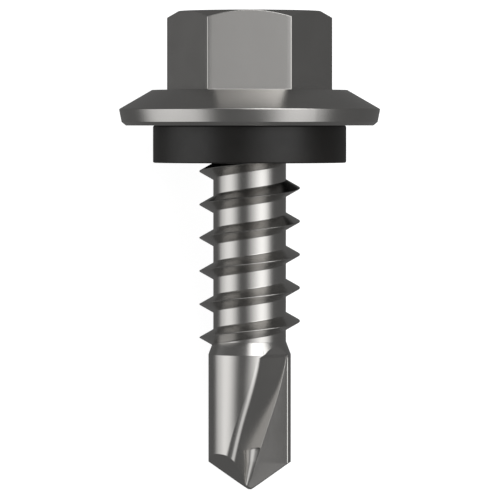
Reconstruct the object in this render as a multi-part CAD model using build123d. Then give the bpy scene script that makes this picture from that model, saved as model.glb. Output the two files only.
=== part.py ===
from build123d import *
import os
from math import acos, asin, atan2, ceil, cos, degrees, radians, sin, tan

# Self-drilling screw with a hexagon washer head and a rubber sealing washer, size No. 12-14 by 20.
# Each piece is modelled with the screw's axis along Z, head up and the flange's seat at height zero.
# Angles go round that axis from X. The whole screw is then laid down the way it comes to rest.

# Lengths along the axis, from the flange's seat down to the tip
SCREW_LENGTH = 19.87
UNTHREADED_LENGTH = 0.5
NECK_LENGTH = 0.705
DRILL_LENGTH = 5.875
POINT_LENGTH = 1.52

# Thread, with 14 turns to the inch
THREAD_PITCH = 25.4 / 14
THREAD_DIAMETER = 5.5
CORE_DIAMETER = 3.97
RIDGE_WIDTH = 0.88
CREST_WIDTH = 0.05
# The ridge's foot reaches this far into the core, so that the two are one body of metal
RIDGE_ROOTING = 0.15
RUNOUT_TURNS = 0.55

# Hexagon head
HEX_ACROSS_FLATS = 7.82
HEAD_HEIGHT = 6.235
HEX_EDGE_RADIUS = 0.12
HEX_TOP_DIAMETER = 7.74
HEX_CHAMFER_ANGLE = 30

# Flange
FLANGE_DIAMETER = 14.3
FLANGE_RIM_HEIGHT = 0.918
FLANGE_RIM_DRAFT = 11.3
FLANGE_SLOPE_ANGLE = 30
FLANGE_SHELF_DIAMETER = 10.64
FLANGE_RIM_ROUNDING = 0.2
FLANGE_SEAT_CHAMFER = 0.2

# Rubber seal
SEAL_DIAMETER = 10.54
SEAL_THICKNESS = 2.03
SEAL_EDGE_CHAMFER = 0.08
SEAL_BORE_CLEARANCE = 0.05

# Drill point
DRILL_DIAMETER = 4.5
TIP_FLAT_DIAMETER = 0.24
# The ground relief behind each lip starts at X and rises this much per unit away from it
RELIEF_RISE = 0.6

# Flutes. The rake face stands upright and ends in the cutting lip. The wall leans, so that the flute
# moves round the drill and runs out on the neck. The trough between them widens upwards.
RAKE_ANGLE = -24
WEB_THICKNESS = 0.4
WALL_ANGLE = 57
WALL_OFFSET_AT_SHOULDER = 0.27
WALL_SHIFT_PER_HEIGHT = 0.24
TROUGH_RADIUS_AT_TIP = 0.16
TROUGH_RADIUS_PER_HEIGHT = 0.138
HEEL_RADIUS = 0.5

HALF_TURN = 180
FULL_TURN = 360
TIP = -SCREW_LENGTH
SHOULDER = TIP + POINT_LENGTH
NECK_LOWER = SHOULDER + DRILL_LENGTH
NECK_UPPER = NECK_LOWER + NECK_LENGTH
CORE_RADIUS = CORE_DIAMETER / 2
THREAD_RADIUS = THREAD_DIAMETER / 2
THREAD_DEPTH = THREAD_RADIUS - CORE_RADIUS
HEX_CORNER_RADIUS = HEX_ACROSS_FLATS / 2 / cos(radians(30))
HEX_TOP_RADIUS = HEX_TOP_DIAMETER / 2
FLANGE_RADIUS = FLANGE_DIAMETER / 2
SEAT_RADIUS = FLANGE_RADIUS - FLANGE_RIM_HEIGHT * tan(radians(FLANGE_RIM_DRAFT))
SHELF_RADIUS = FLANGE_SHELF_DIAMETER / 2
SHELF_HEIGHT = FLANGE_RIM_HEIGHT + (FLANGE_RADIUS - SHELF_RADIUS) * tan(radians(FLANGE_SLOPE_ANGLE))
SEAL_RADIUS = SEAL_DIAMETER / 2
SEAL_BORE_RADIUS = THREAD_RADIUS + SEAL_BORE_CLEARANCE
DRILL_RADIUS = DRILL_DIAMETER / 2
TIP_FLAT_RADIUS = TIP_FLAT_DIAMETER / 2
# The flutes' cutting shape passes all metal by this much
CUT_MARGIN = 1.0


def turned(*corners):
    """A solid of revolution about the axis, from corners given as radius and height."""
    return revolve(Plane.XZ * make_face(Polyline(*corners, close=True)), axis=Axis.Z)


def circles(solid):
    """The solid's round edges, lowest first."""
    return solid.edges().filter_by(GeomType.CIRCLE).sort_by(Axis.Z)


def hexagon():
    """The hexagon with softened edges and its top chamfered all round."""
    prism = extrude(RegularPolygon(HEX_CORNER_RADIUS, 6), HEAD_HEIGHT)
    prism = fillet(prism.edges().filter_by(Axis.Z), HEX_EDGE_RADIUS)
    chamfer_drop = (HEX_CORNER_RADIUS - HEX_TOP_RADIUS) * tan(radians(HEX_CHAMFER_ANGLE))
    return prism & turned(
        (0, 0),
        (HEX_CORNER_RADIUS, 0),
        (HEX_CORNER_RADIUS, HEAD_HEIGHT - chamfer_drop),
        (HEX_TOP_RADIUS, HEAD_HEIGHT),
        (0, HEAD_HEIGHT),
    )


def flange():
    """The washer-shaped flange: a drafted rim, a sloping shoulder and a flat shelf round the hexagon."""
    seat, rim, shelf = (SEAT_RADIUS, 0), (FLANGE_RADIUS, FLANGE_RIM_HEIGHT), (SHELF_RADIUS, SHELF_HEIGHT)
    outline = make_face(Polyline((0, 0), seat, rim, shelf, (0, SHELF_HEIGHT), close=True))
    outline = fillet(outline.vertices().sort_by_distance(rim)[0], FLANGE_RIM_ROUNDING)
    outline = chamfer(outline.vertices().sort_by_distance(seat)[0], FLANGE_SEAT_CHAMFER)
    return revolve(Plane.XZ * outline, axis=Axis.Z)


def blank():
    """The round metal under the head: the thread's core, the neck and the drill with its conical end."""
    return turned(
        (0, SHELF_HEIGHT),
        (CORE_RADIUS, SHELF_HEIGHT),
        (CORE_RADIUS, NECK_UPPER),
        (DRILL_RADIUS, NECK_LOWER),
        (DRILL_RADIUS, SHOULDER),
        (TIP_FLAT_RADIUS, TIP),
        (0, TIP),
    )


def ridge_section(turn, sunk):
    """The thread ridge cut by a half-plane through the axis, so many turns up from its lower end."""
    crest = THREAD_RADIUS - sunk
    foot = CORE_RADIUS - RIDGE_ROOTING - sunk
    flare = (RIDGE_WIDTH - CREST_WIDTH) / 2 / THREAD_DEPTH
    half_crest = CREST_WIDTH / 2
    half_foot = half_crest + flare * (crest - foot)
    height = NECK_LOWER + turn * THREAD_PITCH
    outline = Wire.make_polygon(
        [
            Vector(foot, 0, height - half_foot),
            Vector(crest, 0, height - half_crest),
            Vector(crest, 0, height + half_crest),
            Vector(foot, 0, height + half_foot),
        ]
    )
    return outline.rotate(Axis.Z, FULL_TURN * turn)


def thread():
    """The right-hand ridge, turn by turn: it rises out of the core on the neck and sinks back at its top."""
    sections_per_turn = 12
    turns = (-UNTHREADED_LENGTH - NECK_LOWER) / THREAD_PITCH
    lengths = ceil(turns)
    sunk_depth = THREAD_DEPTH + RIDGE_ROOTING / 2
    ridge = []
    for length in range(lengths):
        sections = []
        for step in range(sections_per_turn + 1):
            turn = turns * (length + step / sections_per_turn) / lengths
            runout = min(turn, turns - turn) / RUNOUT_TURNS
            sections.append(ridge_section(turn, sunk_depth * max(0, 1 - runout) ** 2))
        ridge.append(Solid.make_loft(sections))
    return ridge


def wall_offset(height):
    """The distance from the axis to a flute's wall."""
    return WALL_OFFSET_AT_SHOULDER + WALL_SHIFT_PER_HEIGHT * (height - SHOULDER)


def heel_angle(height):
    """The place round the axis where the front flute's wall meets the drill's round side."""
    return WALL_ANGLE - 90 - degrees(acos(wall_offset(height) / DRILL_RADIUS))


def lip_angle():
    """The place round the axis where the front flute's rake face meets the drill's round side."""
    return RAKE_ANGLE - degrees(asin(WEB_THICKNESS / 2 / DRILL_RADIUS))


def flute_outline(height):
    """The front flute's section at a height: open space between the rake face, the trough and the wall."""
    rake_way = Vector(1, 0).rotate(Axis.Z, RAKE_ANGLE)
    wall_way = Vector(-1, 0).rotate(Axis.Z, WALL_ANGLE)
    rake_point = rake_way.rotate(Axis.Z, -90) * (WEB_THICKNESS / 2)
    wall_normal = wall_way.rotate(Axis.Z, 90)
    along_rake = (wall_offset(height) - rake_point.dot(wall_normal)) / rake_way.dot(wall_normal)
    corner = rake_point + rake_way * along_rake
    trough_radius = TROUGH_RADIUS_AT_TIP + TROUGH_RADIUS_PER_HEIGHT * (height - TIP)
    half_opening = radians(rake_way.get_angle(wall_way)) / 2
    tangent = trough_radius / tan(half_opening)
    bottom = corner + (rake_way + wall_way).normalized() * (trough_radius / sin(half_opening) - trough_radius)
    reach = tangent + THREAD_RADIUS * 2
    outline = Wire(
        [
            Edge.make_line(corner + rake_way * reach, corner + rake_way * tangent),
            Edge.make_three_point_arc(corner + rake_way * tangent, bottom, corner + wall_way * tangent),
            Edge.make_line(corner + wall_way * tangent, corner + wall_way * reach),
            Edge.make_line(corner + wall_way * reach, corner + rake_way * reach),
        ]
    )
    return outline.moved(Location((0, 0, height)))


def flute():
    """The cutting shape of the front flute, from below the tip to above the neck."""
    return Solid.make_loft([flute_outline(TIP), flute_outline(NECK_UPPER + CUT_MARGIN)], ruled=True)


def relief():
    """The space ground away behind one lip: all that lies below a plane through the tip and along X."""
    face = Plane(origin=(0, 0, TIP), z_dir=(-POINT_LENGTH / DRILL_RADIUS, -RELIEF_RISE, -1))
    side = 4 * DRILL_RADIUS
    return face * Box(side, side, side, align=(Align.CENTER, Align.CENTER, Align.MIN))


def point():
    """The blank with two flutes, rounded heels and relieved lips, alike in half a turn."""
    body = blank()
    for turn in (0, HALF_TURN):
        body -= flute().rotate(Axis.Z, turn)
    middle = (NECK_LOWER + SHOULDER) / 2
    heel = Vector(DRILL_RADIUS, 0, middle).rotate(Axis.Z, heel_angle(middle))
    heels = [body.edges().sort_by_distance(heel.rotate(Axis.Z, turn))[0] for turn in (0, HALF_TURN)]
    body = fillet(heels, HEEL_RADIUS)
    for turn in (0, HALF_TURN):
        body -= relief().rotate(Axis.Z, turn)
    return body


def screw():
    """The whole forged and rolled screw as one solid."""
    return point() + thread() + flange() + hexagon()


def sealing_washer():
    """The rubber ring under the flange, clear of the thread that passes through it."""
    ring = extrude(Circle(SEAL_RADIUS) - Circle(SEAL_BORE_RADIUS), -SEAL_THICKNESS)
    outer_edge = circles(ring).group_by(Axis.Z)[0].sort_by(SortBy.RADIUS)[-1]
    return chamfer(outer_edge, SEAL_EDGE_CHAMFER)


def resting_angles():
    """The side of the screw that faces the table, as an angle round the axis, and the axis's slope.

    At the shoulder the screw stands on the rear flute's lip and on the rounding of its heel, so the table
    runs from one to the other. At the head it stands on the lower edge of the flange's rim.
    """
    core = DRILL_RADIUS - HEEL_RADIUS
    heel_way = WALL_ANGLE + 90 - degrees(acos((wall_offset(SHOULDER) - HEEL_RADIUS) / core))
    lip_way = HALF_TURN + lip_angle()
    across = Vector(DRILL_RADIUS, 0).rotate(Axis.Z, lip_way) - Vector(core, 0).rotate(Axis.Z, heel_way)
    across_way = degrees(atan2(across.Y, across.X)) % FULL_TURN
    down_side = across_way - degrees(acos(HEEL_RADIUS / across.length))
    drill_drop = DRILL_RADIUS * cos(radians(lip_way - down_side))
    rim_drop = SEAT_RADIUS + FLANGE_SEAT_CHAMFER * sin(radians(FLANGE_RIM_DRAFT))
    return down_side, degrees(atan2(rim_drop - drill_drop, FLANGE_SEAT_CHAMFER - SHOULDER))


def laid_down(solids):
    """The solids lying at rest, head towards X, with the bottom centre of their box at the origin."""
    down_side, slope = resting_angles()
    lying = [solid.rotate(Axis.Z, -down_side).rotate(Axis.Y, 90 - slope) for solid in solids]
    box = Compound(lying).bounding_box()
    lift = Location((-box.center().X, -box.center().Y, -box.min.Z))
    return [lift * solid for solid in lying]


if __name__ == "__main__":
    os.makedirs("parts", exist_ok=True)
    steel, rubber = laid_down([screw(), sealing_washer()])
    export_step(steel, "parts/screw.step")
    export_step(rubber, "parts/sealing_washer.step")
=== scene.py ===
from collections import namedtuple
from math import atan2, ceil, cos, hypot, pi, radians, sin, sqrt, tan

import bmesh
import bpy
from bpy.props import FloatProperty, FloatVectorProperty, IntProperty, PointerProperty
from mathutils import Euler, Matrix, Vector


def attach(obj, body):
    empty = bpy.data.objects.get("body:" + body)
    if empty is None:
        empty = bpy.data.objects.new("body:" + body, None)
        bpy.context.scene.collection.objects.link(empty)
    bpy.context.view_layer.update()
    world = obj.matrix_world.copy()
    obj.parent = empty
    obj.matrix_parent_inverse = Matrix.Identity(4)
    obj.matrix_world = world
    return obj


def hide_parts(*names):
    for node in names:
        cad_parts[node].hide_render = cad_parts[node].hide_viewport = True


bl_info = {
    "name": "Self-drilling screw",
    "version": (1, 0, 0),
    "blender": (4, 5, 0),
    "location": "3D View > Sidebar > Screw",
    "description": "A self-drilling screw with a hexagon washer head and a rubber seal, laid at rest",
    "category": "Object",
}

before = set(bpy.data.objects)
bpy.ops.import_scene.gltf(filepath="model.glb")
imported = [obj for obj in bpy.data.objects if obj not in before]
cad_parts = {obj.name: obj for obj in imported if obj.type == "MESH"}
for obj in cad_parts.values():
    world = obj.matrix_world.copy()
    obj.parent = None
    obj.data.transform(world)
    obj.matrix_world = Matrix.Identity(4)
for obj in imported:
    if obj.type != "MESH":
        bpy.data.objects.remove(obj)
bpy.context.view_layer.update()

MM = 0.001
FULL_TURN = 2 * pi
SIDES = 6
# The booleans work on meshes drawn this much larger, so that their distances are well above rounding
ENLARGEMENT = 1000
# Points closer together than this are one point
SLIVER = 0.0002 * MM
# Surfaces that would coincide are kept this far apart, so that they cross cleanly
CLEARANCE = 0.004 * MM
# A flute's cutting shape is drawn round a drill that is larger by this much
OVERSHOOT = 0.003 * MM
# Where a flute runs out, its faces stay at least this wide
LEAST_WIDTH = 0.02 * MM
# The cutting shapes begin this far below the tip
BELOW_TIP = 0.05 * MM
# The height between two sections of a flute, and the number of rows in its thinning groove
FLUTE_ROW = 0.1 * MM
THINNING_ROWS = 40
# Steps along a rounded edge, a flute's heel and its bottom, and on the hexagon's flats and corners
EDGE_STEPS = 10
HEEL_STEPS = 16
BOTTOM_STEPS = 32
FLAT_STEPS = 18
CORNER_STEPS = 8
# Points round the drill and round the seal
DRILL_POINTS = 256
SEAL_POINTS = 192
# Edges that turn by more than this are left sharp
SHARP_STEEL = radians(10)
SHARP_RUBBER = radians(20)


def length(name, description, default, low=0.0):
    """A length property, given in millimetres and kept in metres."""
    return FloatProperty(
        name=name, description=description, default=default * MM, min=low, unit="LENGTH", precision=5
    )


def angle(name, description, default):
    """An angle property, given in degrees and kept in radians."""
    return FloatProperty(name=name, description=description, default=radians(default), subtype="ANGLE")


def colour(name, description, default):
    """A colour property."""
    return FloatVectorProperty(
        name=name, description=description, default=default, min=0.0, max=1.0, size=3, subtype="COLOR"
    )


def share(name, description, default):
    """A number between nought and one."""
    return FloatProperty(
        name=name, description=description, default=default, min=0.0, max=1.0, subtype="FACTOR"
    )


def number(name, description, default):
    """A plain number, such as a ratio or a brightness."""
    return FloatProperty(name=name, description=description, default=default)


class HeadSizes(bpy.types.PropertyGroup):
    """Sizes of the hexagon and of the flange under it"""

    across_flats: length("Across flats", "Width of the hexagon over two flats", 7.82)
    height: length("Height", "Height of the hexagon's top above the flange's seat", 6.234)
    corner_radius: length("Corner radius", "Rounding of the hexagon's upright edges", 0.08)
    top_diameter: length("Top diameter", "Diameter of the flat top inside the chamfer", 7.74)
    chamfer_angle: angle("Chamfer angle", "Slope of the chamfer round the top", 30)
    edge_radius: length("Edge radius", "Rounding of the chamfer's edges", 0.05)
    flange_diameter: length("Flange diameter", "Diameter of the flange at its widest", 14.25)
    rim_height: length("Rim height", "Height of the flange's widest place", 0.9)
    rim_draft: angle("Rim draft", "Lean of the rim from upright", 11.3)
    rim_rounding: length("Rim rounding", "Rounding of the rim's upper edge", 0.08)
    inner_seat: length("Inner seat", "Distance from the axis at which the seat begins, inside the seal", 3)
    seat_chamfer: length("Seat chamfer", "Chamfer along the seat's edge", 0.2)
    seat_rounding: length("Seat rounding", "Rounding of that chamfer's edges", 0.04)
    slope_angle: angle("Slope angle", "Slope of the flange's upper side", 30)
    shelf_diameter: length("Shelf diameter", "Diameter of the level part round the hexagon", 10.64)
    shelf_rounding: length("Shelf rounding", "Rounding of the shelf's outer edge", 0.1)
    foot_radius: length("Foot radius", "Hollow between the shelf and the hexagon", 0.04)


class ShankSizes(bpy.types.PropertyGroup):
    """Sizes of the shank, the neck and the drill"""

    screw_length: length("Screw length", "From the flange's seat to the tip", 19.869)
    core_diameter: length("Core diameter", "Diameter of the shank between the thread's turns", 3.97)
    head_overlap: length("Head overlap", "How far the shank is drawn into the head", 0.5)
    neck_length: length("Neck length", "Length of the cone between shank and drill", 0.705)
    neck_rounding: length("Neck rounding", "Rounding of that cone's edges", 0.06)
    drill_length: length("Drill length", "Length of the drill's round part", 5.875)
    drill_diameter: length("Drill diameter", "Diameter of the drill", 4.5)
    point_length: length("Point length", "Length of the drill's conical end", 1.52)
    tip_flat_diameter: length("Tip flat", "Diameter of the flat at the very tip", 0.24)
    relief_rise: number("Relief rise", "Rise of the ground relief for each unit away from its lip", 0.6)


class RestingPlace(bpy.types.PropertyGroup):
    """How the screw lies on the floor, on the flange's rim and on the drill"""

    down_side: angle("Down side", "The side that faces the floor, as an angle round the axis", 103.5815)
    slope: angle("Slope", "Slope of the axis from level", 16.4593)
    seat_forward: length("Seat forward", "The seat's middle, from the frame's origin along X", 6.00488)
    seat_height: length("Seat height", "The seat's middle above the floor", 6.6631)


class FluteSizes(bpy.types.PropertyGroup):
    """Sizes of the two flutes in the drill"""

    rake_angle: angle("Rake angle", "Direction of the front flute's upright face, round the axis", -17)
    web_thickness: length("Web thickness", "Metal left between the two rake faces", 0.4)
    wall_angle: angle("Wall angle", "Direction of the leaning wall at the drill's shoulder", 50)
    wall_twist: angle("Wall twist", "Turn of the wall over the drill's length", -7)
    wall_offset: length("Wall offset", "Distance of the wall from the axis at the shoulder", 0.49)
    wall_shift: number("Wall shift", "How far it moves out for each unit of height", 0.302)
    slowing_height: length("Slowing height", "Height above the shoulder where that begins to slow down", 3)
    slowing: number("Slowing", "How quickly it slows down", 35)
    exit_height: length("Exit height", "Height below the neck where it turns outwards", 0.12)
    exit_shift: number("Exit shift", "How much more it moves out there for each unit of height", 0.65)
    wall_limit: length("Wall limit", "The farthest that it moves out", 2.08)
    trough_radius: length("Trough radius", "Rounding of the flute's bottom", 0.035)
    heel_radius: length("Heel radius", "Rounding between the wall and the drill's round side", 0.52)
    lip_radius: length("Lip radius", "Rounding between the rake face and the drill's round side", 0.09)
    fading: length("Fading", "Height across the neck's lower edge over which both roundings shrink", 1.1)
    least_rounding: share("Least rounding", "What is left of them above it", 0.02)


class ThinningSizes(bpy.types.PropertyGroup):
    """Sizes of the groove in each flute's bottom that thins the web towards the point"""

    wall_angle: angle("Wall angle", "Direction of the groove's left side, round the axis", 80)
    wall_offset: length("Wall offset", "Distance of that side from the axis, on the far side of it", 0.07)
    wall_lean: number("Wall lean", "How much farther it is for each unit below the shoulder", 0.12)
    radius: length("Radius", "Rounding of the groove's bottom at the drill's shoulder", 0.5)
    widening: number("Widening", "Growth of that rounding for each unit of height", 0.25)
    top: length("Top", "Height above the shoulder where the groove ends", 0.98)
    run_out: length("Run-out", "Height over which it ends", 0.28)


class ThreadSizes(bpy.types.PropertyGroup):
    """Sizes of the thread's ridge"""

    pitch: length("Pitch", "Rise of the ridge in one turn", 25.4 / 14)
    diameter: length("Diameter", "Diameter over the crest", 5.5)
    ridge_width: length("Ridge width", "Width of the ridge where it meets the core", 0.88)
    crest_width: length("Crest width", "Width of the crest", 0.03)
    crest_rounding: length("Crest rounding", "Softness of the crest's edges", 0.012)
    root_rounding: length("Root rounding", "Softness of the hollow at the ridge's foot", 0.1)
    rooting: length("Rooting", "How far the ridge's foot reaches into the core", 0.15)
    unthreaded_length: length("Unthreaded length", "Plain shank between the seat and the ridge's end", 0.5)
    runout_turns: number("Run-out turns", "Turns over which the ridge sinks away at each end", 0.55)
    steps_per_turn: IntProperty(name="Steps per turn", description="Sections in one turn", default=96)
    flank_points: IntProperty(name="Flank points", description="Points across the ridge", default=49)


class SealSizes(bpy.types.PropertyGroup):
    """Sizes of the rubber sealing washer"""

    diameter: length("Diameter", "Outer diameter of the seal", 10.54)
    thickness: length("Thickness", "Height of the seal", 2.03)
    edge_radius: length("Edge radius", "Rounding of the seal's outer edges", 0.09)
    bore_clearance: length("Bore clearance", "Gap between the seal's bore and the crest", 0.05)
    bore_edge_radius: length("Bore edge radius", "Rounding of the bore's edges", 0.04)


class Finishes(bpy.types.PropertyGroup):
    """Colours and surface of the two materials"""

    steel_colour: colour("Steel", "Colour of the coated steel", (0.50, 0.49, 0.475))
    steel_worn_colour: colour("Worn steel", "Colour where an edge is rubbed", (0.72, 0.71, 0.69))
    steel_roughness: share("Steel roughness", "Roughness of the steel", 0.24)
    rubber_colour: colour("Rubber", "Colour of the seal", (0.009, 0.008, 0.0068))
    rubber_worn_colour: colour("Worn rubber", "Colour where an edge is rubbed", (0.05, 0.05, 0.05))
    rubber_roughness: share("Rubber roughness", "Roughness of the seal", 0.42)


class StudioSettings(bpy.types.PropertyGroup):
    """Camera, floor and light"""

    camera_distance: length("Camera distance", "From the camera to the screw's axis", 262)
    camera_aim: length("Camera aim", "How far below the seat the picture's middle is", 6.79)
    camera_side: length("Camera side", "How far to the right of the axis it stands and looks", 0.02)
    field_of_view: angle("Field of view", "The picture's width as an angle", 5.96)
    floor_size: length("Floor size", "Width of the floor", 4000)
    floor_shade: share("Floor shade", "How pale the floor is", 0.35)
    floor_glow: number("Floor glow", "Brightness of the floor's own light", 0.93)
    room_light: number("Room light", "Brightness of the dim room", 0.14)


class ScrewProject(bpy.types.PropertyGroup):
    """All settings of the screw"""

    head: PointerProperty(type=HeadSizes)
    shank: PointerProperty(type=ShankSizes)
    flutes: PointerProperty(type=FluteSizes)
    thinning: PointerProperty(type=ThinningSizes)
    resting: PointerProperty(type=RestingPlace)
    thread: PointerProperty(type=ThreadSizes)
    seal: PointerProperty(type=SealSizes)
    finishes: PointerProperty(type=Finishes)
    studio: PointerProperty(type=StudioSettings)


def settings():
    """The scene's settings for the screw."""
    return bpy.context.scene.drilling_screw


# Heights along the upright screw's axis, from the flange's seat


def tip_height(shank):
    """The tip of the point."""
    return -shank.screw_length


def shoulder_height(shank):
    """Where the drill's conical end begins."""
    return tip_height(shank) + shank.point_length


def neck_lower(shank):
    """Where the drill goes over into the neck."""
    return shoulder_height(shank) + shank.drill_length


def neck_upper(shank):
    """Where the neck goes over into the thread's core."""
    return neck_lower(shank) + shank.neck_length


# Placing. Every form is drawn upright, seat at height zero, and laid down at the end.


def polar(distance, way, height=0.0):
    """A point from its distance to the axis, its angle round it and its height."""
    return Vector((distance * cos(way), distance * sin(way), height))


def laid_down():
    """The placing of the upright screw as it lies in the frame."""
    resting = settings().resting
    turn = Matrix.Rotation(pi / 2 - resting.slope, 4, "Y") @ Matrix.Rotation(-resting.down_side, 4, "Z")
    return Matrix.Translation((resting.seat_forward, 0, resting.seat_height)) @ turn


# Meshes


def new_object(name, points, faces):
    """An object in the scene made of points and faces."""
    mesh = bpy.data.meshes.new(name)
    mesh.from_pydata([tuple(p) for p in points], [], faces)
    mesh.update()
    made = bpy.data.objects.new(name, mesh)
    bpy.context.scene.collection.objects.link(made)
    return made


def skinned(name, rings, closed_loop=False):
    """A closed object through equal rings of points. Unless it closes on itself, its ends are flat."""
    size = len(rings[0])
    points = [p for ring in rings for p in ring]
    faces = []
    last = len(rings) if closed_loop else len(rings) - 1
    for row in range(last):
        low, high = row * size, (row + 1) % len(rings) * size
        for i in range(size):
            j = (i + 1) % size
            faces.append((low + i, low + j, high + j, high + i))
    if not closed_loop:
        faces.append(tuple(reversed(range(size))))
        faces.append(tuple(range(len(points) - size, len(points))))
    return new_object(name, points, faces)


def square(half):
    """The corners of a level square about the middle, given half its side."""
    return [(-half, -half), (half, -half), (half, half), (-half, half)]


def arc_between(centre, start, end, steps):
    """Points on an arc about a centre, from one point to another."""
    a, b = start - centre, end - centre
    swing = a.angle(b)
    return [
        centre + (a * sin((1 - step / steps) * swing) + b * sin(step / steps * swing)) / sin(swing)
        for step in range(steps + 1)
    ]


def rounded_line(corners):
    """A line of radius and height through corners, each given as its radius, height and rounding."""
    line = []
    for index, (r, z, rounding) in enumerate(corners):
        if not rounding:
            line.append((r, z))
            continue
        here = Vector((r, z))
        back = (Vector(corners[index - 1][:2]) - here).normalized()
        on = (Vector(corners[(index + 1) % len(corners)][:2]) - here).normalized()
        half = back.angle(on) / 2
        reach = rounding / tan(half)
        centre = here + (back + on).normalized() * (rounding / sin(half))
        line += [tuple(p) for p in arc_between(centre, here + back * reach, here + on * reach, EDGE_STEPS)]
    return line


def turned(name, line, points_round, closed_loop=False):
    """An object of revolution from a line of radius and height."""
    ways = [FULL_TURN * i / points_round for i in range(points_round)]
    return skinned(name, [[polar(r, way, z) for way in ways] for r, z in line], closed_loop)


def combined(base, operation, *others):
    """The base joined with, or cut by, the other objects, which are used up."""
    for thing in (base, *others):
        thing.data.transform(Matrix.Scale(ENLARGEMENT, 4))
    for other in others:
        step = base.modifiers.new(other.name, "BOOLEAN")
        step.operation = operation
        step.solver = "EXACT"
        step.object = other
    plain_mesh(base)
    for other in others:
        bpy.data.objects.remove(other)
    welded(base.data, SLIVER * ENLARGEMENT)
    base.data.transform(Matrix.Scale(1 / ENLARGEMENT, 4))
    return base


def welded(mesh, distance):
    """Joins the points of a mesh that are closer together than the distance."""
    made = bmesh.new()
    made.from_mesh(mesh)
    bmesh.ops.remove_doubles(made, verts=made.verts, dist=distance)
    bmesh.ops.dissolve_degenerate(made, edges=made.edges, dist=distance)
    made.to_mesh(mesh)
    made.free()


def plain_mesh(thing):
    """Makes what an object's modifiers give its own plain mesh."""
    bpy.context.view_layer.update()
    graph = bpy.context.evaluated_depsgraph_get()
    made = bpy.data.meshes.new_from_object(thing.evaluated_get(graph))
    thing.modifiers.clear()
    old, name = thing.data, thing.data.name
    thing.data = made
    bpy.data.meshes.remove(old)
    made.name = name


def finished(piece, sharp_from, material):
    """Lays a piece down and gives it its shading and material."""
    mesh = piece.data
    mesh.transform(laid_down())
    mesh.materials.clear()
    mesh.materials.append(material)
    mesh.shade_smooth()
    mesh.set_sharp_from_angle(angle=sharp_from)
    weighted = piece.modifiers.new("Weighted normals", "WEIGHTED_NORMAL")
    weighted.keep_sharp = True
    plain_mesh(piece)


# The head


def hexagon_outline(head):
    """Distance and angle of points round the hexagon, close together on its rounded corners."""
    apothem = head.across_flats / 2
    sixth = FULL_TURN / SIDES
    corner_middle = (apothem - head.corner_radius) / cos(sixth / 2)
    outline = []
    for side in range(SIDES):
        middle = polar(corner_middle, side * sixth)
        arc = [
            middle + polar(head.corner_radius, (side - 0.5 + step / CORNER_STEPS) * sixth)
            for step in range(CORNER_STEPS + 1)
        ]
        next_middle = polar(corner_middle, (side + 1) * sixth)
        next_start = next_middle + polar(head.corner_radius, (side + 0.5) * sixth)
        flat = [arc[-1].lerp(next_start, step / FLAT_STEPS) for step in range(1, FLAT_STEPS)]
        outline += arc + flat
    return [(hypot(p.x, p.y), atan2(p.y, p.x)) for p in outline]


def make_head(head):
    """The hexagon with its chamfered top, standing on the flange."""
    outline = hexagon_outline(head)
    ways = [way for _, way in outline]
    rim, shelf, top = head.flange_diameter / 2, head.shelf_diameter / 2, head.top_diameter / 2
    draft, chamfer, soft = head.rim_draft, head.seat_chamfer, head.seat_rounding
    seat = rim - head.rim_height * tan(draft)
    shelf_height = head.rim_height + (rim - shelf) * tan(head.slope_angle)
    line = rounded_line(
        [
            (head.inner_seat, 0, 0),
            (seat - chamfer, 0, soft),
            (seat + chamfer * sin(draft), chamfer * cos(draft), soft),
            (rim, head.rim_height, head.rim_rounding),
            (shelf, shelf_height, head.shelf_rounding),
            ((shelf + head.across_flats / 2) / 2, shelf_height, 0),
        ]
    )
    rings = [[polar(r, way, z) for way in ways] for r, z in line]
    # The hollow between shelf and hexagon, the side, and the rounded chamfer above it
    quarter, hollow, edge, slope = pi / 2, head.foot_radius, head.edge_radius, head.chamfer_angle
    for step in range(EDGE_STEPS + 1):
        bend = quarter * (1 - step / EDGE_STEPS)
        out, height = hollow - hollow * cos(bend), shelf_height + hollow - hollow * sin(bend)
        rings.append([polar(r + out, way, height) for r, way in outline])
    side_reach = edge * tan((quarter - slope) / 2)
    top_reach = edge * tan(slope / 2)
    for step in range(EDGE_STEPS + 1):
        bend = (quarter - slope) * step / EDGE_STEPS
        ring = []
        for r, way in outline:
            start = head.height - (r - top) * tan(slope) - side_reach
            ring.append(polar(r - edge + edge * cos(bend), way, start + edge * sin(bend)))
        rings.append(ring)
    for step in range(EDGE_STEPS + 1):
        bend = slope * (1 - step / EDGE_STEPS)
        r, z = top - top_reach + edge * sin(bend), head.height - edge + edge * cos(bend)
        rings.append([polar(r, way, z) for way in ways])
    return skinned("head", rings)


# The shank and the drill


def round_radius(height):
    """The radius of the drill's round side and of the neck at a height."""
    shank = settings().shank
    lower, upper = neck_lower(shank), neck_upper(shank)
    drill, core = shank.drill_diameter / 2, shank.core_diameter / 2
    return drill + (core - drill) * min(1, max(0, (height - lower) / (upper - lower)))


def smooth(value):
    """Nought below nought, one above one, and a soft rise between."""
    value = min(1, max(0, value))
    return value * value * (3 - 2 * value)


def flute_wall(height):
    """A flute's wall at a height: its direction and its distance from the axis, then the rounding of the
    flute's bottom and the distance of the rake face from the axis.
    """
    shank, flutes = settings().shank, settings().flutes
    above = height - shoulder_height(shank)
    slowed = flutes.slowing * max(0, above - flutes.slowing_height) ** 2
    leaving = flutes.exit_shift * max(0, height - neck_lower(shank) + flutes.exit_height)
    offset = flutes.wall_offset + flutes.wall_shift * above - slowed + leaving
    return (
        flutes.wall_angle + flutes.wall_twist * above / shank.drill_length,
        min(offset, flutes.wall_limit),
        flutes.trough_radius,
        flutes.web_thickness / 2,
    )


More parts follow.
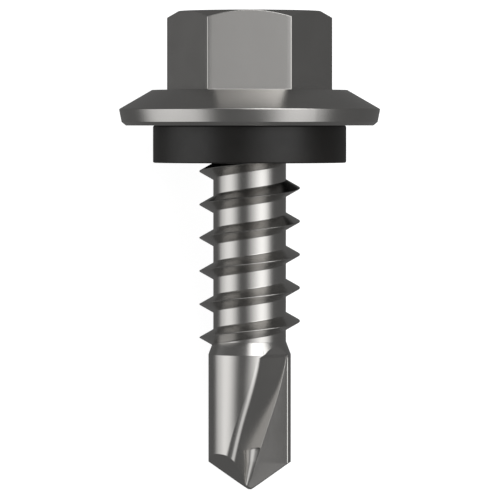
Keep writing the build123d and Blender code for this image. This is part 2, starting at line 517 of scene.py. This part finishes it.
def thinning_wall(height):
    """The same for the groove that thins the web. It stops just in front of the flute's rake face, and at its
    top it moves out into the flute's open space.
    """
    shank, thinning = settings().shank, settings().thinning
    above = height - shoulder_height(shank)
    leaving = smooth((above - thinning.top + thinning.run_out) / thinning.run_out)
    moved_out = leaving * shank.drill_diameter / 4
    return (
        thinning.wall_angle,
        thinning.wall_lean * min(0, above) - thinning.wall_offset + moved_out,
        thinning.radius + thinning.widening * above,
        settings().flutes.web_thickness / 2 + CLEARANCE,
    )


def crossing(normal_a, offset_a, normal_b, offset_b):
    """The point where two lines in a level plane cross, each given by its normal and its distance."""
    spread = normal_a.x * normal_b.y - normal_a.y * normal_b.x
    x = (offset_a * normal_b.y - offset_b * normal_a.y) / spread
    y = (normal_a.x * offset_b - normal_b.x * offset_a) / spread
    return Vector((x, y, 0))


def edge_rounding(normal_way, along_way, offset, radius, rounding, steps):
    """The arc from a flute's flat face onto the round side, or nothing where the face doesn't reach it.

    The face lies at a distance from the axis in the direction normal_way and runs out along along_way.
    """
    inner = (offset - rounding) / (radius - rounding)
    if not -1 < inner < 1:
        return []
    normal, along = polar(1, normal_way), polar(1, along_way)
    centre = normal * (offset - rounding) + along * ((radius - rounding) * sqrt(1 - inner * inner))
    return arc_between(centre, centre + normal * rounding, centre * (radius / centre.length), steps)


def flute_section(height, side, wall):
    """The points round an open space beside the rake face at a height, and whether its wall has left the
    metal there. The side is nought for the front flute and one for the rear flute.
    """
    shank, flutes = settings().shank, settings().flutes
    radius, outside = round_radius(height) + OVERSHOOT, shank.drill_diameter * 2
    wall_angle, offset, trough, rake_offset = wall(height)
    rake_angle, wall_angle = flutes.rake_angle, wall_angle + pi
    rake_normal, wall_normal = rake_angle - pi / 2, wall_angle + pi / 2
    rake_way, wall_way = polar(1, rake_angle), polar(1, wall_angle)
    corner = crossing(polar(1, rake_normal), rake_offset, polar(1, wall_normal), offset)
    left = min(1, max(flutes.least_rounding, (neck_lower(shank) - height) / flutes.fading + 0.5))
    lip_radius, heel_radius = flutes.lip_radius * left, flutes.heel_radius * left
    # Where the flute runs out, the lip gives way to points in a row on the rake face's line
    lip = edge_rounding(rake_normal, rake_angle, rake_offset, radius, lip_radius, EDGE_STEPS)
    half = rake_way.angle(wall_way) / 2
    room = lip[0].dot(rake_way) - corner.dot(rake_way)
    if room < 2 * LEAST_WIDTH:
        lip = [corner + rake_way * (LEAST_WIDTH * (2 + step)) for step in range(len(lip))]
        room = 2 * LEAST_WIDTH
    reach = min(trough / tan(half), room - LEAST_WIDTH / 2)
    middle = corner + (rake_way + wall_way).normalized() * (reach / cos(half))
    points = [lip[-1] * (outside / radius), *reversed(lip)]
    points += arc_between(middle, corner + rake_way * reach, corner + wall_way * reach, BOTTOM_STEPS)
    heel = edge_rounding(wall_normal, wall_angle, offset, radius, heel_radius, HEEL_STEPS)
    if not heel or (heel[0] - points[-1]).dot(wall_way) <= 0:
        apart, last = shank.drill_diameter / HEEL_STEPS, points[-1]
        heel = [last + wall_way * (apart * (step + 1)) for step in range(HEEL_STEPS + 1)]
    points += [*heel, heel[-1] * (outside / heel[-1].length)]
    turn = Matrix.Rotation(side * pi, 4, "Z")
    return [turn @ Vector((p.x, p.y, height)) for p in points], offset > radius + LEAST_WIDTH


def make_flute(side):
    """The space that one flute takes out of the drill. It ends where its wall has left the metal."""
    height, ended, sections = tip_height(settings().shank) - BELOW_TIP, False, []
    while not ended:
        section, ended = flute_section(height, side, flute_wall)
        sections.append(section)
        height += FLUTE_ROW
    return skinned(f"flute_{side}", sections)


def make_thinning(side):
    """The groove that thins the web beside one flute's rake face, down to the point."""
    shank, thinning = settings().shank, settings().thinning
    start, end = tip_height(shank) - BELOW_TIP, shoulder_height(shank) + thinning.top
    heights = [start + (end - start) * row / THINNING_ROWS for row in range(THINNING_ROWS + 1)]
    return skinned(f"thinning_{side}", [flute_section(height, side, thinning_wall)[0] for height in heights])


def make_relief(side):
    """The space ground away behind one lip."""
    shank = settings().shank
    radius = shank.drill_diameter / 2
    normal = Vector((-shank.point_length / radius, -shank.relief_rise, -1)).normalized()
    tip = Vector((0, 0, tip_height(shank)))
    placing = Matrix.Translation(tip) @ normal.to_track_quat("Z", "Y").to_matrix().to_4x4()
    placing = Matrix.Rotation(side * pi, 4, "Z") @ placing
    size = 2 * shank.drill_diameter
    rings = [[placing @ Vector((x, y, z)) for x, y in square(size)] for z in (0, size)]
    return skinned(f"relief_{side}", rings)


def make_shank(shank):
    """The thread's core, the neck and the drill, with flutes and ground lips."""
    core, drill = shank.core_diameter / 2, shank.drill_diameter / 2
    line = rounded_line(
        [
            (shank.tip_flat_diameter / 2, tip_height(shank), 0),
            (drill, shoulder_height(shank), 0),
            (drill, neck_lower(shank), shank.neck_rounding),
            (core, neck_upper(shank), shank.neck_rounding),
            (core, shank.head_overlap, 0),
        ]
    )
    body = turned("shank", line, DRILL_POINTS)
    combined(body, "DIFFERENCE", make_relief(0), make_relief(1))
    combined(body, "DIFFERENCE", make_flute(0), make_flute(1))
    return combined(body, "DIFFERENCE", make_thinning(0), make_thinning(1))


# The thread


class Nodes:
    """A short way to add nodes to a tree and join them."""

    def __init__(self, tree):
        self.tree = tree

    def add(self, kind, **options):
        """A new node. What is given as inputs sets or joins its sockets, other options are its own values."""
        node = self.tree.nodes.new(kind)
        inputs = options.pop("inputs", {})
        for key, value in options.items():
            setattr(node, key, value)
        for key, value in inputs.items():
            self.feed(node.inputs[key], value)
        return node

    def feed(self, socket, value):
        """Joins an output to the socket, or sets the socket to a plain value."""
        if isinstance(value, bpy.types.NodeSocket):
            self.tree.links.new(value, socket)
        else:
            socket.default_value = value

    def math(self, operation, *values):
        """The result of a math node."""
        node = self.add("ShaderNodeMath", operation=operation)
        for socket, value in zip(node.inputs, values):
            self.feed(socket, value)
        return node.outputs[0]


def thread_tree():
    """The node tree that winds the ridge: a profile swept along a helix, sinking away at both ends."""
    tree = bpy.data.node_groups.new("Thread ridge", "GeometryNodeTree")
    tree.interface.new_socket("Geometry", in_out="OUTPUT", socket_type="NodeSocketGeometry")
    lengths = (
        "Pitch", "Crest radius", "Core radius", "Ridge width", "Crest width", "Crest rounding",
        "Root rounding", "Rooting", "Lower end",
    )
    kinds = dict.fromkeys((*lengths, "Turns", "Run-out turns"), "NodeSocketFloat")
    kinds |= {"Sections": "NodeSocketInt", "Flank points": "NodeSocketInt", "Material": "NodeSocketMaterial"}
    for name, kind in kinds.items():
        socket = tree.interface.new_socket(name, in_out="INPUT", socket_type=kind)
        if name in lengths:
            socket.subtype = "DISTANCE"
    n = Nodes(tree)
    given = n.add("NodeGroupInput").outputs

    # Across the ridge: its rise from the middle and its reach from the axis
    index = n.add("GeometryNodeInputIndex").outputs[0]
    last = n.math("SUBTRACT", given["Flank points"], 1)
    place = n.math("SUBTRACT", n.math("MULTIPLY", n.math("DIVIDE", index, last), 2), 1)
    half_foot = n.math("ADD", n.math("MULTIPLY", given["Ridge width"], 0.5), given["Root rounding"])
    rise = n.math("MULTIPLY", place, half_foot)
    half_crest = n.math("MULTIPLY", given["Crest width"], 0.5)
    depth = n.math("SUBTRACT", given["Crest radius"], given["Core radius"])
    flank_width = n.math("SUBTRACT", n.math("MULTIPLY", given["Ridge width"], 0.5), half_crest)
    steepness = n.math("DIVIDE", depth, flank_width)
    down_flank = n.math("MULTIPLY", n.math("SUBTRACT", n.math("ABSOLUTE", rise), half_crest), steepness)
    on_flank = n.math("SUBTRACT", given["Crest radius"], down_flank)
    below_crest = n.math("SMOOTH_MIN", on_flank, given["Crest radius"], given["Crest rounding"])
    # The hollow at the foot ends just under the core's surface, so that the two bodies cross there
    floor = n.math("SUBTRACT", given["Core radius"], CLEARANCE)
    reach = n.math("SMOOTH_MAX", below_crest, floor, given["Root rounding"])
    nearly = 0.001
    ends = n.math("COMPARE", n.math("ABSOLUTE", place), 1, nearly)
    foot = n.math("SUBTRACT", given["Core radius"], given["Rooting"])
    reach = n.add(
        "GeometryNodeSwitch", input_type="FLOAT", inputs={"Switch": ends, "False": reach, "True": foot}
    ).outputs[0]

    def stored(geometry, name, value):
        """The geometry with a value kept on its points under a name."""
        kept_there = {"Geometry": geometry, "Name": name, "Value": value}
        return n.add("GeometryNodeStoreNamedAttribute", data_type="FLOAT", inputs=kept_there).outputs[0]

    def kept(name):
        """The value that was kept under a name."""
        node = n.add("GeometryNodeInputNamedAttribute", data_type="FLOAT", inputs={"Name": name})
        return node.outputs["Attribute"]

    across = n.add("ShaderNodeCombineXYZ", inputs={"X": reach, "Y": rise}).outputs[0]
    row = n.add("GeometryNodeMeshLine", inputs={"Count": given["Flank points"]}).outputs[0]
    row = n.add("GeometryNodeSetPosition", inputs={"Geometry": row, "Position": across}).outputs[0]
    profile = stored(stored(row, "rise", rise), "reach", reach)
    profile = n.add("GeometryNodeMeshToCurve", inputs={"Mesh": profile}).outputs[0]
    profile = n.add("GeometryNodeSetSplineCyclic", inputs={"Geometry": profile, "Cyclic": True})

    # Along the ridge: how many turns up a section is, and how far it has sunk
    path = n.add("GeometryNodeMeshLine", inputs={"Count": given["Sections"]}).outputs[0]
    along = n.math("DIVIDE", index, n.math("SUBTRACT", given["Sections"], 1))
    path = stored(path, "turn", n.math("MULTIPLY", along, given["Turns"]))
    path = n.add("GeometryNodeMeshToCurve", inputs={"Mesh": path}).outputs[0]
    swept = n.add(
        "GeometryNodeCurveToMesh",
        inputs={"Curve": path, "Profile Curve": profile.outputs[0], "Fill Caps": True},
    ).outputs[0]
    turn = kept("turn")
    from_end = n.math("MINIMUM", turn, n.math("SUBTRACT", given["Turns"], turn))
    left = n.math("SUBTRACT", 1, n.math("DIVIDE", from_end, given["Run-out turns"]))
    left = n.math("MAXIMUM", left, 0)
    full_depth = n.math("ADD", depth, n.math("MULTIPLY", given["Rooting"], 0.5))
    sunk = n.math("MULTIPLY", n.math("MULTIPLY", left, left), full_depth)
    radius = n.math("SUBTRACT", kept("reach"), sunk)
    way = n.math("MULTIPLY", turn, FULL_TURN)
    height = n.math("ADD", kept("rise"), n.math("MULTIPLY", turn, given["Pitch"]))
    spot = n.add(
        "ShaderNodeCombineXYZ",
        inputs={
            "X": n.math("MULTIPLY", radius, n.math("COSINE", way)),
            "Y": n.math("MULTIPLY", radius, n.math("SINE", way)),
            "Z": n.math("ADD", given["Lower end"], height),
        },
    ).outputs[0]
    wound = n.add("GeometryNodeSetPosition", inputs={"Geometry": swept, "Position": spot}).outputs[0]
    whole = n.add("GeometryNodeRealizeInstances", inputs={"Geometry": wound}).outputs[0]
    named = n.add("GeometryNodeSetMaterial", inputs={"Geometry": whole, "Material": given["Material"]})
    n.add("NodeGroupOutput", inputs={"Geometry": named.outputs[0]})
    return tree


def make_thread(material):
    """The thread's ridge as one closed object."""
    shank, thread = settings().shank, settings().thread
    lower_end = neck_lower(shank)
    turns = (-thread.unthreaded_length - lower_end) / thread.pitch
    ridge = new_object("thread", [(0, 0, 0)], [])
    winding = ridge.modifiers.new("Thread ridge", "NODES")
    winding.node_group = thread_tree()
    values = {
        "Pitch": thread.pitch,
        "Crest radius": thread.diameter / 2,
        "Core radius": shank.core_diameter / 2,
        "Ridge width": thread.ridge_width,
        "Crest width": thread.crest_width,
        "Crest rounding": thread.crest_rounding,
        "Root rounding": thread.root_rounding,
        "Rooting": thread.rooting,
        "Lower end": lower_end,
        "Turns": turns,
        "Run-out turns": thread.runout_turns,
        "Sections": ceil(turns * thread.steps_per_turn) + 1,
        "Flank points": thread.flank_points,
        "Material": material,
    }
    for socket in winding.node_group.interface.items_tree:
        if socket.in_out == "INPUT":
            winding[socket.identifier] = values[socket.name]
    plain_mesh(ridge)
    if not ridge.data.polygons:
        raise RuntimeError("the thread's nodes gave no faces")
    return ridge


# Materials


def group_tree(name, inputs, outputs):
    """An empty shader node group with named inputs and outputs."""
    tree = bpy.data.node_groups.new(name, "ShaderNodeTree")
    for label, kind, default in inputs:
        socket = tree.interface.new_socket(label, in_out="INPUT", socket_type=kind)
        if default is not None:
            socket.default_value = default
    for label, kind in outputs:
        tree.interface.new_socket(label, in_out="OUTPUT", socket_type=kind)
    return tree


def edge_wear_group():
    """A mask of rubbed edges: where a bevelled normal leaves the true one, broken up by noise."""
    tree = group_tree(
        "Edge wear",
        [
            ("Coordinates", "NodeSocketVector", None),
            ("Width", "NodeSocketFloat", 0.06 * MM),
            ("Patch scale", "NodeSocketFloat", 900.0),
            ("Amount", "NodeSocketFloat", 0.6),
        ],
        [("Mask", "NodeSocketFloat")],
    )
    n = Nodes(tree)
    given = n.add("NodeGroupInput").outputs
    bevel = n.add("ShaderNodeBevel", samples=6, inputs={"Radius": given["Width"]})
    true_normal = n.add("ShaderNodeNewGeometry").outputs["Normal"]
    facing = n.add(
        "ShaderNodeVectorMath", operation="DOT_PRODUCT", inputs={0: bevel.outputs[0], 1: true_normal}
    )
    turned_away = n.add(
        "ShaderNodeMapRange", inputs={"Value": facing.outputs["Value"], "From Min": 0.995, "From Max": 0.90}
    )
    patches = n.add(
        "ShaderNodeTexNoise",
        inputs={"Vector": given["Coordinates"], "Scale": given["Patch scale"], "Detail": 3.0},
    )
    kept = n.add(
        "ShaderNodeMapRange", inputs={"Value": patches.outputs[0], "From Min": 0.3, "From Max": 0.7}
    )
    rubbed = n.math("MULTIPLY", turned_away.outputs[0], kept.outputs[0])
    mask = n.math("MULTIPLY", rubbed, given["Amount"])
    n.add("NodeGroupOutput", inputs={"Mask": mask})
    return tree


def fine_grain_group():
    """Small surface grain: a value that varies from spot to spot, and a normal that it roughens."""
    tree = group_tree(
        "Fine grain",
        [
            ("Coordinates", "NodeSocketVector", None),
            ("Grain scale", "NodeSocketFloat", 4000.0),
            ("Grain height", "NodeSocketFloat", 0.002 * MM),
            ("Mottle scale", "NodeSocketFloat", 700.0),
            ("Normal", "NodeSocketVector", None),
        ],
        [("Grain", "NodeSocketFloat"), ("Mottle", "NodeSocketFloat"), ("Normal", "NodeSocketVector")],
    )
    n = Nodes(tree)
    given = n.add("NodeGroupInput").outputs

    def noise(scale, detail, roughness):
        """Soft noise over the object."""
        values = {"Vector": given["Coordinates"], "Scale": scale, "Detail": detail, "Roughness": roughness}
        return n.add("ShaderNodeTexNoise", inputs=values).outputs[0]

    grain, mottle = noise(given["Grain scale"], 4.0, 0.6), noise(given["Mottle scale"], 5.0, 0.55)
    height = given["Grain height"]
    bump = n.add("ShaderNodeBump", inputs={"Distance": height, "Height": grain, "Normal": given["Normal"]})
    n.add("NodeGroupOutput", inputs={"Grain": grain, "Mottle": mottle, "Normal": bump.outputs[0]})
    return tree


def shared_group(name, make):
    """The node group of that name, made on first use."""
    return bpy.data.node_groups.get(name) or make()


def new_material(name):
    """A material with a Principled shader, the nodes helper and Object coordinates."""
    material = bpy.data.materials.new(name)
    material.use_nodes = True
    material.node_tree.nodes.clear()
    n = Nodes(material.node_tree)
    shader = n.add("ShaderNodeBsdfPrincipled")
    n.add("ShaderNodeOutputMaterial", inputs={"Surface": shader.outputs[0]})
    return material, n, shader, n.add("ShaderNodeTexCoord").outputs["Object"]


def worn_material(name, tone, worn_tone, tints, roughness, swing, grain, wear):
    """A material with fine grain, a faint mottle in colour and gloss, and rubbed edges.

    The tints are the least and the greatest share of its tone, and its roughness goes up and down by the
    swing. The grain and the wear are values for the two shared groups. Gives the material and its shader.
    """
    material, n, shader, coordinates = new_material(name)

    def placed(label, make, values):
        """A shared group placed in the material with its own values."""
        values = {"Coordinates": coordinates, **values}
        return n.add("ShaderNodeGroup", node_tree=shared_group(label, make), inputs=values).outputs

    surface = placed("Fine grain", fine_grain_group, grain)
    mask = placed("Edge wear", edge_wear_group, wear)["Mask"]

    def mottled(low, high):
        """A value that wanders with the mottle from one bound to the other."""
        bounds = {"From Min": 0.25, "From Max": 0.75, "To Min": low, "To Max": high}
        return n.add("ShaderNodeMapRange", inputs={"Value": surface["Mottle"], **bounds}).outputs[0]

    coat = n.add("ShaderNodeVectorMath", operation="SCALE", inputs={0: tone, "Scale": mottled(*tints)})
    mixed = n.add(
        "ShaderNodeMix", data_type="RGBA", inputs={"Factor": mask, 6: coat.outputs[0], 7: (*worn_tone, 1)}
    )
    n.feed(shader.inputs["Base Color"], mixed.outputs[2])
    n.feed(shader.inputs["Roughness"], mottled(roughness - swing, roughness + swing))
    n.feed(shader.inputs["Normal"], surface["Normal"])
    return material, shader


def steel_material():
    """Dull coated steel."""
    finishes = settings().finishes
    material, shader = worn_material(
        "coated_steel",
        finishes.steel_colour,
        finishes.steel_worn_colour,
        tints=(0.975, 1.025),
        roughness=finishes.steel_roughness,
        swing=0.015,
        grain={"Grain scale": 3500.0, "Mottle scale": 650.0, "Grain height": 0.0012 * MM},
        wear={"Width": 0.05 * MM, "Amount": 0.25},
    )
    shader.inputs["Metallic"].default_value = 1.0
    return material


def rubber_material():
    """Matt black moulded rubber with dusty edges."""
    finishes = settings().finishes
    return worn_material(
        "seal_rubber",
        finishes.rubber_colour,
        finishes.rubber_worn_colour,
        tints=(0.8, 1.25),
        roughness=finishes.rubber_roughness,
        swing=0.06,
        grain={"Grain scale": 2600.0, "Mottle scale": 500.0, "Grain height": 0.006 * MM},
        wear={"Width": 0.1 * MM, "Amount": 0.35},
    )[0]


# The studio


SoftLight = namedtuple("SoftLight", "brightness left right side_softness bottom top end_softness")
# The lights round the upright screw, with their edges in degrees. Left and right are counted round its axis
# from the camera, bottom and top from its level, and an edge fades over its softness to both sides.
SOFT_LIGHTS = (
    # At the left, and its brighter middle
    SoftLight(0.88, -106, -40, 12, -34, 16, 12),
    SoftLight(0.5, -84, -54, 10, -10, 14, 8),
    # At the right down to the floor, and its brighter upper part towards the camera
    SoftLight(0.9, 24, 67, 14, -60, 16, 14),
    SoftLight(1.1, 2, 55, 16, -10, 16, 8),
    # Overhead, then a small strong one high at the right and what lies above that
    SoftLight(0.65, -60, 60, 25, 50, 110, 8),
    SoftLight(3.4, 0, 66, 12, 33, 50, 6),
    SoftLight(0.9, 2, 60, 16, 42, 110, 10),
)


def make_world(studio):
    """Plain studio light: a dim room with soft lights round the screw. The camera sees it white."""
    world = bpy.data.worlds.new("Studio")
    bpy.context.scene.world = world
    world.use_nodes = True
    world.node_tree.nodes.clear()
    n = Nodes(world.node_tree)
    resting = settings().resting
    upright = n.add(
        "ShaderNodeMapping",
        vector_type="POINT",
        inputs={
            "Vector": n.add("ShaderNodeTexCoord").outputs["Generated"],
            "Rotation": Euler((0, resting.slope - pi / 2, resting.down_side)),
        },
    )
    way = n.add("ShaderNodeSeparateXYZ", inputs={"Vector": upright.outputs[0]}).outputs
    # Degrees round the screw's axis, nought at the camera and growing to the right, and above its level
    round_axis = n.math("DEGREES", n.math("ARCTAN2", way["X"], n.math("MULTIPLY", way["Y"], -1)))
    up_axis = n.math("DEGREES", n.math("ARCSINE", way["Z"]))

    def band(value, low, high, softness):
        """One between the two edges and nought outside them."""
        ramps = []
        for edge, before, after in ((low, 0, 1), (high, 1, 0)):
            given = {"Value": value, "From Min": edge - softness, "From Max": edge + softness}
            given |= {"To Min": before, "To Max": after}
            ramp = n.add("ShaderNodeMapRange", interpolation_type="SMOOTHSTEP", inputs=given)
            ramps.append(ramp.outputs[0])
        return n.math("MULTIPLY", *ramps)

    light = studio.room_light
    for box in SOFT_LIGHTS:
        across = band(round_axis, box.left, box.right, box.side_softness)
        shape = n.math("MULTIPLY", across, band(up_axis, box.bottom, box.top, box.end_softness))
        light = n.math("ADD", light, n.math("MULTIPLY", shape, box.brightness))
    seen = n.add("ShaderNodeLightPath").outputs["Is Camera Ray"]
    strength = n.add("ShaderNodeMix", data_type="FLOAT", inputs={0: seen, 2: light, 3: 1.0})
    background = n.add(
        "ShaderNodeBackground", inputs={"Color": (1, 1, 1, 1), "Strength": strength.outputs[0]}
    )
    n.add("ShaderNodeOutputWorld", inputs={"Surface": background.outputs[0]})


def floor_material(studio):
    """A plain pale floor that is nearly lit from within, so that only soft shadows show on it."""
    material, _, shader, _ = new_material("pale_floor")
    shade = studio.floor_shade
    shader.inputs["Base Color"].default_value = (shade, shade, shade, 1)
    shader.inputs["Roughness"].default_value = 1.0
    shader.inputs["Specular IOR Level"].default_value = 0.0
    shader.inputs["Emission Color"].default_value = (1, 1, 1, 1)
    shader.inputs["Emission Strength"].default_value = studio.floor_glow
    return material


# Operators


class SCREW_OT_steel_screw(bpy.types.Operator):
    """Make the steel screw: head, flange, thread, neck and drill point in one piece"""

    bl_idname = "screw.steel_screw"
    bl_label = "Steel screw"

    def execute(self, context):
        project = settings()
        steel = steel_material()
        screw = make_head(project.head)
        combined(screw, "UNION", make_shank(project.shank))
        combined(screw, "UNION", make_thread(steel))
        if len(screw.data.polygons) < len(hexagon_outline(project.head)):
            raise RuntimeError("the head, the shank and the thread didn't join")
        screw.name = screw.data.name = "steel_screw"
        finished(screw, SHARP_STEEL, steel)
        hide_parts("screw")
        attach(screw, "root")
        return {"FINISHED"}


class SCREW_OT_sealing_washer(bpy.types.Operator):
    """Make the rubber sealing washer under the flange"""

    bl_idname = "screw.sealing_washer"
    bl_label = "Sealing washer"

    def execute(self, context):
        seal, thread = settings().seal, settings().thread
        outer, bore = seal.diameter / 2, thread.diameter / 2 + seal.bore_clearance
        line = rounded_line(
            [
                (outer, -seal.thickness, seal.edge_radius),
                (outer, 0, seal.edge_radius),
                (bore, 0, seal.bore_edge_radius),
                (bore, -seal.thickness, seal.bore_edge_radius),
            ]
        )
        ring = turned("rubber_seal", line, SEAL_POINTS, closed_loop=True)
        finished(ring, SHARP_RUBBER, rubber_material())
        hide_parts("sealing_washer")
        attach(ring, "root")
        return {"FINISHED"}


class SCREW_OT_stage(bpy.types.Operator):
    """Make the pale floor, the soft studio light and the camera"""

    bl_idname = "screw.stage"
    bl_label = "Stage"

    def execute(self, context):
        studio = settings().studio
        corners = [(x, y, 0) for x, y in square(studio.floor_size / 2)]
        floor = new_object("floor", corners, [tuple(range(len(corners)))])
        floor.data.materials.append(floor_material(studio))
        floor.visible_glossy = False
        floor.visible_diffuse = False
        make_world(studio)
        context.scene.view_settings.view_transform = "Standard"

        camera = bpy.data.objects.new("camera", bpy.data.cameras.new("camera"))
        context.scene.collection.objects.link(camera)
        camera.data.lens = camera.data.sensor_width / 2 / tan(studio.field_of_view / 2)
        eye = Vector((studio.camera_side, -studio.camera_distance, 0))
        aim = Vector((studio.camera_side, 0, -studio.camera_aim))
        turn = (aim - eye).to_track_quat("-Z", "Y").to_matrix().to_4x4()
        camera.matrix_world = laid_down() @ Matrix.Translation(eye) @ turn
        nearest, farthest = 0.01, 10
        camera.data.clip_start, camera.data.clip_end = nearest, farthest
        context.scene.camera = camera
        return {"FINISHED"}


class SCREW_PT_sidebar(bpy.types.Panel):
    """The screw's operators and settings in the 3D view's sidebar"""

    bl_idname = "SCREW_PT_sidebar"
    bl_label = "Self-drilling screw"
    bl_space_type = "VIEW_3D"
    bl_region_type = "UI"
    bl_category = "Screw"

    def draw(self, context):
        for operator in OPERATORS:
            self.layout.operator(operator.bl_idname)
        for group in ScrewProject.__annotations__:
            box = self.layout.box()
            box.label(text=group.capitalize())
            values = getattr(settings(), group)
            for name in values.__annotations__:
                box.prop(values, name)


GROUPS = (
    HeadSizes,
    ShankSizes,
    RestingPlace,
    FluteSizes,
    ThinningSizes,
    ThreadSizes,
    SealSizes,
    Finishes,
    StudioSettings,
    ScrewProject,
)
OPERATORS = (SCREW_OT_steel_screw, SCREW_OT_sealing_washer, SCREW_OT_stage)


def register():
    """Adds the settings, operators and panel to Blender."""
    for thing in (*GROUPS, *OPERATORS, SCREW_PT_sidebar):
        bpy.utils.register_class(thing)
    bpy.types.Scene.drilling_screw = PointerProperty(type=ScrewProject)


def unregister():
    """Takes them out again."""
    del bpy.types.Scene.drilling_screw
    for thing in reversed((*GROUPS, *OPERATORS, SCREW_PT_sidebar)):
        bpy.utils.unregister_class(thing)


def main():
    """Builds the whole scene."""
    register()
    bpy.ops.screw.steel_screw()
    bpy.ops.screw.sealing_washer()
    bpy.ops.screw.stage()


if __name__ == "__main__":
    main()
